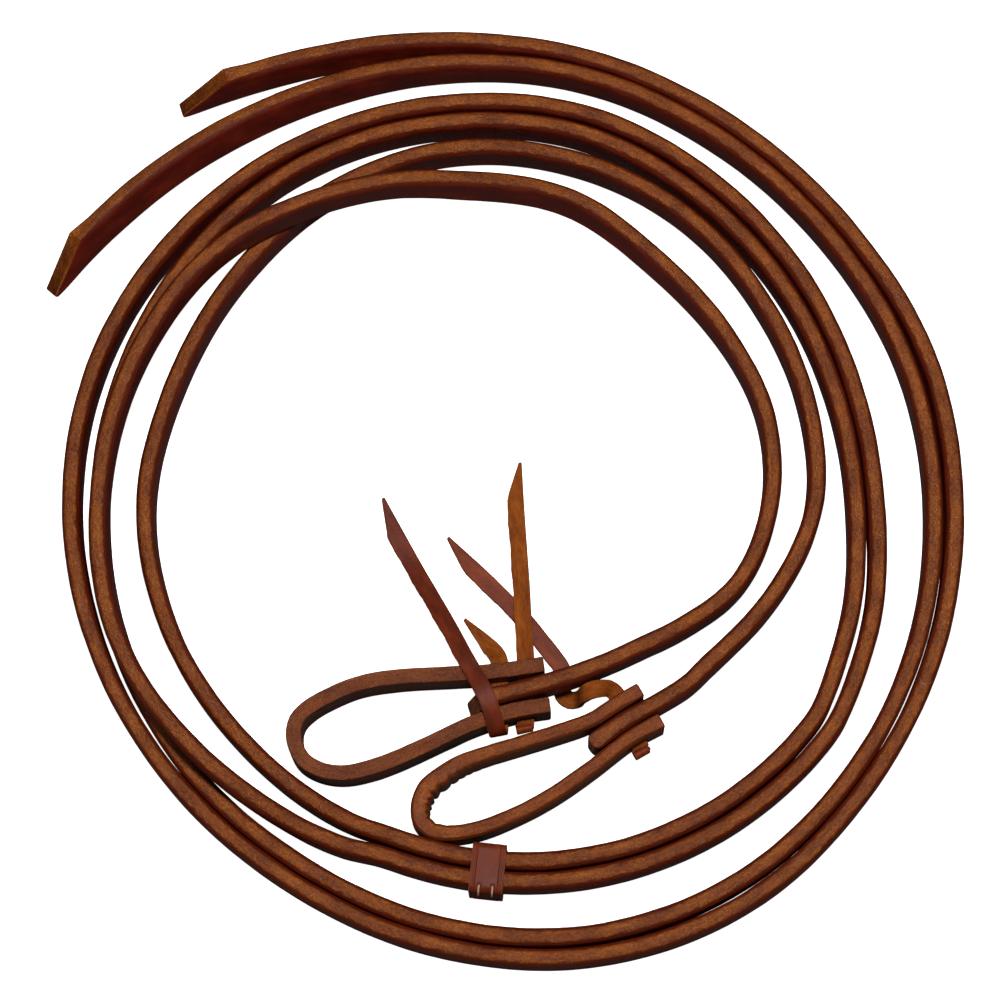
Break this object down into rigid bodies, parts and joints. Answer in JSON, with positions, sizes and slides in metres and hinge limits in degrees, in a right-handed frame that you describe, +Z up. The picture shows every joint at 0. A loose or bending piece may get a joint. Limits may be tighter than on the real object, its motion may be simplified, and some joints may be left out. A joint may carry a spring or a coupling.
{
  "type": "leather reins",
  "caption": "Pair of split leather reins coiled on edge, each with a laced water loop for the bit, held together by a sliding keeper band.",
  "frame": {"origin": "centre of the bounding box's bottom face, on the surface the reins lie on, near the middle of the coil", "axes": "Z is up, across the width of the straps that stand on edge. X and Y lie in the surface. The water loops and the keeper are on the -Y side, and the straps' free ends are at -X +Y."},
  "size_m": [0.3423, 0.3557, 0.0324],
  "materials": {
    "strap_leather": "oiled russet harness leather with burnished round edges",
    "loop_leather": "oiled russet harness leather with crisp cut edges",
    "lace_leather": "soft lace leather, smooth on one side and napped on the other",
    "keeper_leather": "smooth glossy red-brown leather",
    "thread": "waxed pale thread"
  },
  "bodies": {
    "reins": {"left_rein_strap": "strap_leather", "right_rein_strap": "strap_leather", "left_water_loop": "loop_leather", "right_water_loop": "loop_leather", "left_tie_lace_front": "lace_leather", "left_tie_lace_back": "lace_leather", "right_tie_lace": "lace_leather"},
    "keeper": {"keeper_band": "keeper_leather", "keeper_stitch_1": "thread", "keeper_stitch_2": "thread"}
  },
  "joints": [
    {"name": "keeper_slide", "type": "hinge", "parent": "reins", "child": "keeper", "pos_m": [0.00999, -0.0091, 0], "axis": [0, 0, 1], "range_deg": [0, 50]}
  ]
}
